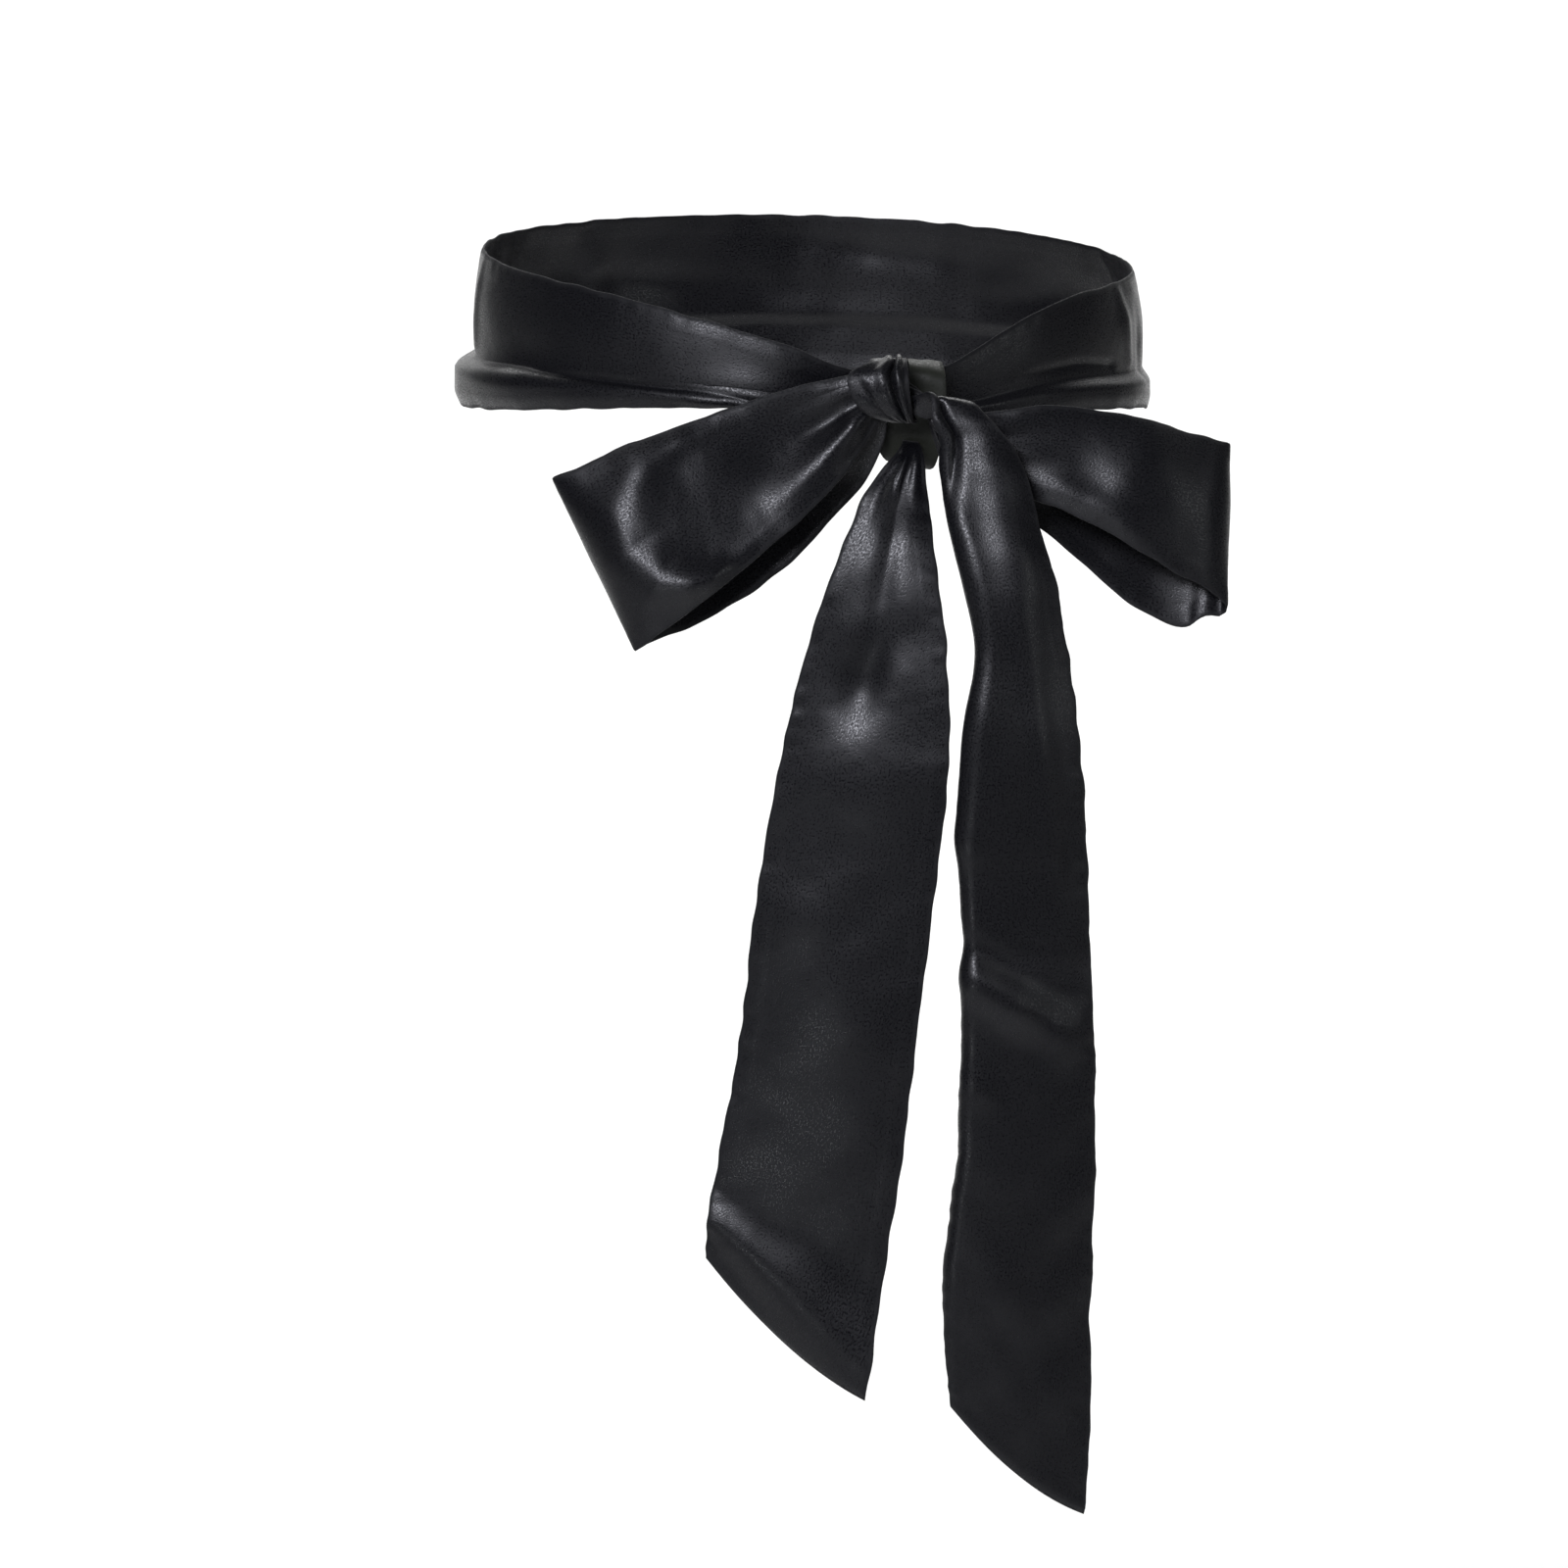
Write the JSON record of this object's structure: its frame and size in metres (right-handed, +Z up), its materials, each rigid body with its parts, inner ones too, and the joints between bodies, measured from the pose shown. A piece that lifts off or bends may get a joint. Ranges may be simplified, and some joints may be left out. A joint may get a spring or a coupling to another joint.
{
  "type": "satin sash tied in a bow",
  "caption": "Satin sash tied round a waist: a band with a soft lengthwise fold, and a bow with loops and hanging tails cut aslant.",
  "frame": {"origin": "middle of the waist that the band goes round, at the band's mean height", "axes": "+Z up along the waist; -Y is the front, where the bow is; +X is the right of the front view"},
  "size_m": [0.303, 0.2935, 0.4648],
  "materials": {
    "satin": "satin weave with a soft sheen"
  },
  "bodies": {
    "root": {"waist_band": "satin", "knot_crossing": "satin", "knot_wrap": "satin", "loop_left": "satin", "loop_right": "satin", "tail_left": "satin", "tail_right": "satin"}
  },
  "joints": []
}
